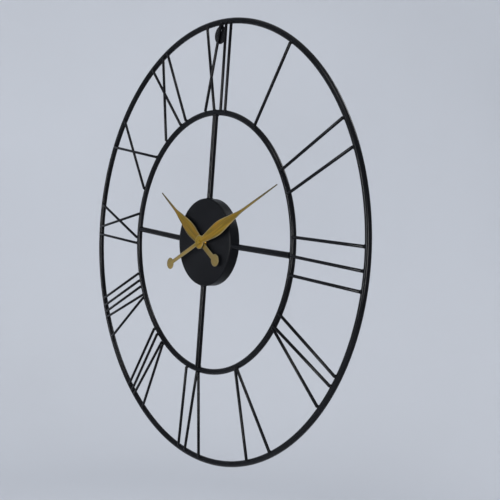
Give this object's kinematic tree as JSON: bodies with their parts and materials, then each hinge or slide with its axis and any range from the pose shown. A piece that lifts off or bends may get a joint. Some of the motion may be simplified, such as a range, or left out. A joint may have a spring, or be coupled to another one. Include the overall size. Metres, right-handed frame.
{
  "type": "wall clock",
  "caption": "Round open-frame wall clock: welded bar rings and Roman numerals, a hub cup, leaf-shaped hands and a battery quartz movement.",
  "frame": {"origin": "where the axis of the hands meets the wall plane, on the movement's back cover", "axes": "+X to 3 o'clock, +Z to 12 o'clock, +Y into the wall; the dial faces -Y"},
  "size_m": [0.608, 0.0266, 0.6079],
  "materials": {
    "black_frame": "satin black powder coat",
    "black_cup": "satin black powder coat",
    "gold_hands": "matt gold lacquer on stamped aluminium",
    "case_plastic": "moulded",
    "white_plastic": "moulded",
    "wheel_plastic": "moulded acetal",
    "arbor_plastic": "moulded acetal",
    "knob_plastic": "moulded",
    "turned_brass": "turned",
    "seal_rubber": "matt",
    "soft_iron": "stamped",
    "copper_wire": "enamelled winding",
    "board_laminate": "laminate",
    "chip_resin": "resin",
    "plated_steel": "nickel plated",
    "cell_jacket": "printed steel jacket, plain"
  },
  "bodies": {
    "frame": {"outer_ring": "black_frame", "inner_ring": "black_frame", "spoke_12": "black_frame", "spoke_3": "black_frame", "spoke_6": "black_frame", "spoke_9": "black_frame", "numeral_1": "black_frame", "numeral_2": "black_frame", "numeral_3": "black_frame", "numeral_4": "black_frame", "numeral_5": "black_frame", "numeral_6": "black_frame", "numeral_7": "black_frame", "numeral_8": "black_frame", "numeral_9": "black_frame", "numeral_10": "black_frame", "numeral_11": "black_frame", "numeral_12": "black_frame", "hanger_plate": "black_frame", "hub_cup": "black_cup", "rubber_washer": "seal_rubber", "brass_washer": "turned_brass", "fixing_nut": "turned_brass", "threaded_bush": "turned_brass", "case_front": "case_plastic", "case_back": "case_plastic", "mid_plate": "white_plastic", "train_bridge": "white_plastic", "coil_bobbin": "white_plastic", "stator": "soft_iron", "coil_core": "soft_iron", "coil_winding": "copper_wire", "circuit_board": "board_laminate", "quartz_crystal": "plated_steel", "clock_chip": "chip_resin", "contact_plus": "plated_steel", "contact_minus": "plated_steel"},
    "minute_works": {"minute_arbor": "arbor_plastic", "minute_hand": "gold_hands", "hand_cap": "gold_hands"},
    "hour_works": {"hour_wheel": "arbor_plastic", "hour_hand": "gold_hands"},
    "motion_work": {"motion_wheel": "wheel_plastic"},
    "hand_setter": {"setting_knob": "knob_plastic"},
    "motor_rotor": {"rotor": "wheel_plastic"},
    "fifth": {"fifth_wheel": "wheel_plastic"},
    "seconds": {"seconds_wheel": "wheel_plastic"},
    "third": {"third_wheel": "wheel_plastic"},
    "centre": {"centre_wheel": "wheel_plastic"},
    "cell": {"battery_cell": "cell_jacket"}
  },
  "joints": [
    {"name": "minute_hand_turn", "type": "hinge", "parent": "frame", "child": "minute_works", "pos_m": [0, 0, 0], "axis": [0, 1, 0], "continuous": true},
    {"name": "hour_hand_turn", "type": "hinge", "parent": "frame", "child": "hour_works", "pos_m": [0, 0, 0], "axis": [0, 1, 0], "continuous": true},
    {"name": "motion_wheel_turn", "type": "hinge", "parent": "frame", "child": "motion_work", "pos_m": [0.00789, 0, 0.00287], "axis": [0, 1, 0], "continuous": true},
    {"name": "setting_knob_turn", "type": "hinge", "parent": "frame", "child": "hand_setter", "pos_m": [0.01579, 0, 0.00575], "axis": [0, 1, 0], "continuous": true},
    {"name": "rotor_turn", "type": "hinge", "parent": "frame", "child": "motor_rotor", "pos_m": [-0.01512, 0, 0.00215], "axis": [0, 1, 0], "continuous": true},
    {"name": "fifth_wheel_turn", "type": "hinge", "parent": "frame", "child": "fifth", "pos_m": [-0.0092, 0, 0], "axis": [0, 1, 0], "continuous": true},
    {"name": "seconds_wheel_turn", "type": "hinge", "parent": "frame", "child": "seconds", "pos_m": [0, 0, 0], "axis": [0, 1, 0], "continuous": true},
    {"name": "third_wheel_turn", "type": "hinge", "parent": "frame", "child": "third", "pos_m": [-0.00308, 0, 0.00846], "axis": [0, 1, 0], "continuous": true},
    {"name": "centre_wheel_turn", "type": "hinge", "parent": "frame", "child": "centre", "pos_m": [0, 0, 0], "axis": [0, 1, 0], "continuous": true},
    {"name": "battery_slide", "type": "slide", "parent": "frame", "child": "cell", "axis": [0, 1, 0], "range_m": [0, 0.02]}
  ],
  "couplings": [
    {"joint": "hour_hand_turn", "follows": "minute_hand_turn", "ratio": 0.083333},
    {"joint": "motion_wheel_turn", "follows": "minute_hand_turn", "ratio": -0.33333},
    {"joint": "setting_knob_turn", "follows": "minute_hand_turn", "ratio": 1},
    {"joint": "fifth_wheel_turn", "follows": "rotor_turn", "ratio": -0.16667},
    {"joint": "seconds_wheel_turn", "follows": "rotor_turn", "ratio": 0.033333},
    {"joint": "third_wheel_turn", "follows": "rotor_turn", "ratio": -0.0044444},
    {"joint": "centre_wheel_turn", "follows": "rotor_turn", "ratio": 0.00055556}
  ]
}
